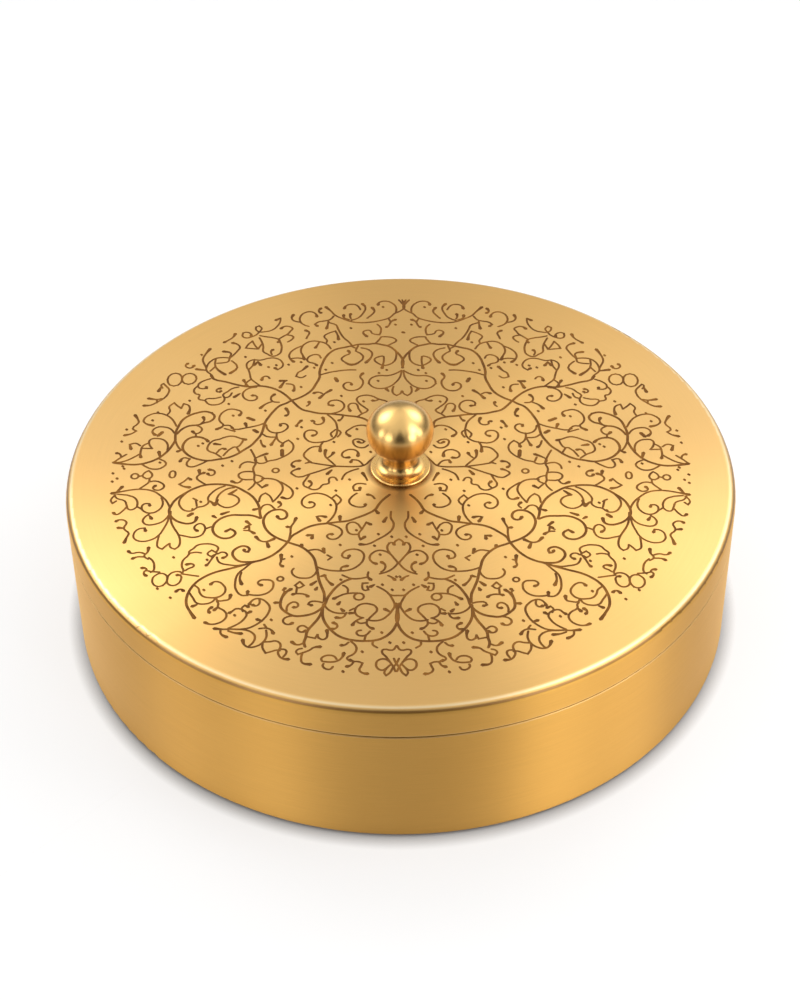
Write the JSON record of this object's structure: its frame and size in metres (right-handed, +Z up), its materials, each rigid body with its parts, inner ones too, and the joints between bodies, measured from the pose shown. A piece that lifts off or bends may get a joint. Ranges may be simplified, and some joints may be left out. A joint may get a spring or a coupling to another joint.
{
  "type": "spice box",
  "caption": "Round brass spice box: a flat lifting lid with a ball knob and scroll engraving over a brushed pan that holds loose round bowls and a small spoon.",
  "frame": {"origin": "middle of the foot ring, on the surface that the box stands on", "axes": "+Z up through the knob, -Y towards the front"},
  "size_m": [0.2, 0.2, 0.0744],
  "materials": {
    "brushed_brass": "brushed round the wall",
    "engraved_brass": "satin, engraved, lines dark",
    "satin_brass": "satin",
    "polished_brass": "polished",
    "plain_brass": "as turned",
    "bowl_brass": "spun, satin",
    "spoon_brass": "hand polished"
  },
  "bodies": {
    "base": {"base_pan": "brushed_brass", "base_collar": "plain_brass"},
    "lid": {"lid_cap": "engraved_brass", "knob_plate": "satin_brass", "knob": "polished_brass", "knob_washer": "plain_brass", "knob_screw": "plain_brass"},
    "bowl_centre_body": {"bowl_centre": "bowl_brass"},
    "bowl_1_body": {"bowl_1": "bowl_brass"},
    "bowl_2_body": {"bowl_2": "bowl_brass"},
    "bowl_3_body": {"bowl_3": "bowl_brass"},
    "bowl_4_body": {"bowl_4": "bowl_brass"},
    "bowl_5_body": {"bowl_5": "bowl_brass"},
    "bowl_6_body": {"bowl_6": "bowl_brass"},
    "spoon_body": {"spoon": "spoon_brass"}
  },
  "joints": [
    {"name": "lid_lift", "type": "slide", "parent": "base", "child": "lid", "axis": [0, 0, 1], "range_m": [0, 0.12]},
    {"name": "bowl_centre_lift", "type": "slide", "parent": "base", "child": "bowl_centre_body", "axis": [0, 0, 1], "range_m": [0, 0.0155]},
    {"name": "bowl_1_lift", "type": "slide", "parent": "base", "child": "bowl_1_body", "axis": [0, 0, 1], "range_m": [0, 0.0155]},
    {"name": "bowl_2_lift", "type": "slide", "parent": "base", "child": "bowl_2_body", "axis": [0, 0, 1], "range_m": [0, 0.0155]},
    {"name": "bowl_3_lift", "type": "slide", "parent": "base", "child": "bowl_3_body", "axis": [0, 0, 1], "range_m": [0, 0.0155]},
    {"name": "bowl_4_lift", "type": "slide", "parent": "base", "child": "bowl_4_body", "axis": [0, 0, 1], "range_m": [0, 0.0155]},
    {"name": "bowl_5_lift", "type": "slide", "parent": "base", "child": "bowl_5_body", "axis": [0, 0, 1], "range_m": [0, 0.0155]},
    {"name": "bowl_6_lift", "type": "slide", "parent": "base", "child": "bowl_6_body", "axis": [0, 0, 1], "range_m": [0, 0.0155]},
    {"name": "spoon_lift", "type": "slide", "parent": "bowl_1_body", "child": "spoon_body", "axis": [0, 0, 1], "range_m": [0, 0.0155]}
  ]
}
